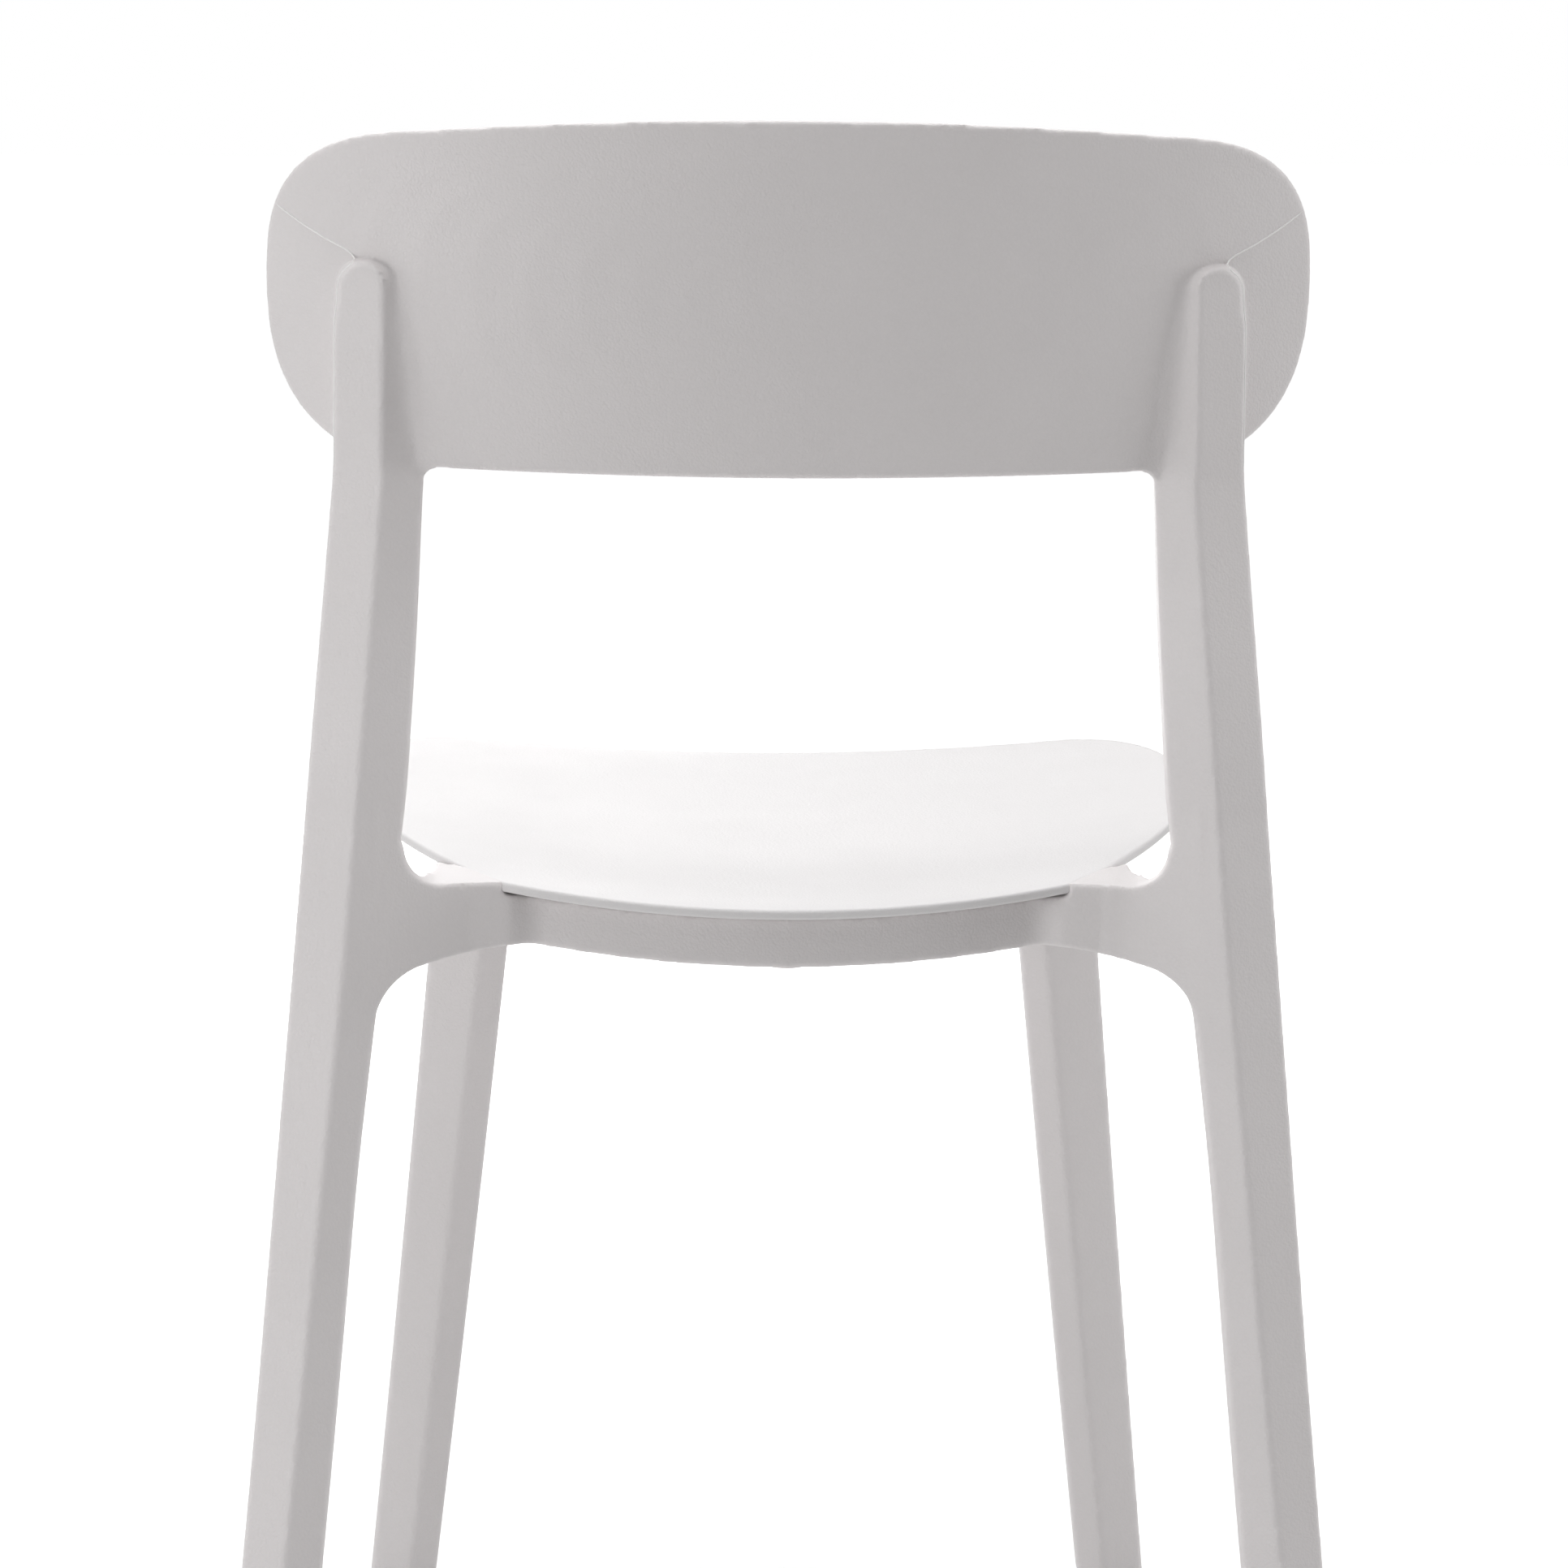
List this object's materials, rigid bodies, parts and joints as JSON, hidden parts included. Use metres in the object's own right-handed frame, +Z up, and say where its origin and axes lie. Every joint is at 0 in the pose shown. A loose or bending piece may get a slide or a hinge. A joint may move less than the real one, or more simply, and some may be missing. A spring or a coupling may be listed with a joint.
{
  "type": "moulded stacking chair",
  "caption": "Armless stacking chair in off-white moulded plastic, with a curved wrap-round backrest, a dished seat and splayed legs.",
  "frame": {"origin": "centre of the bounding box at floor level, midway between the feet", "axes": "+Z up, -Y towards the chair's front, +X towards the sitter's left"},
  "size_m": [0.496, 0.46, 0.76],
  "materials": {
    "frame": "matte, with a fine leather grain",
    "shell": "matte, with a fine leather grain",
    "glide": "matte",
    "pad": "soft matte",
    "steel": "zinc plated",
    "brass": "turned"
  },
  "bodies": {
    "root": {"back_frame": "frame", "seat_shell": "shell", "front_frame": "frame", "glide_rear_left": "glide", "glide_rear_right": "glide", "glide_front_left": "glide", "glide_front_right": "glide", "stack_pad_front_left": "pad", "stack_pad_front_right": "pad", "stack_pad_rear_left": "pad", "stack_pad_rear_right": "pad", "seat_screws": "steel", "frame_bolts": "steel", "bolt_washers": "steel", "threaded_inserts": "brass", "rail_plug": "frame"}
  },
  "joints": []
}
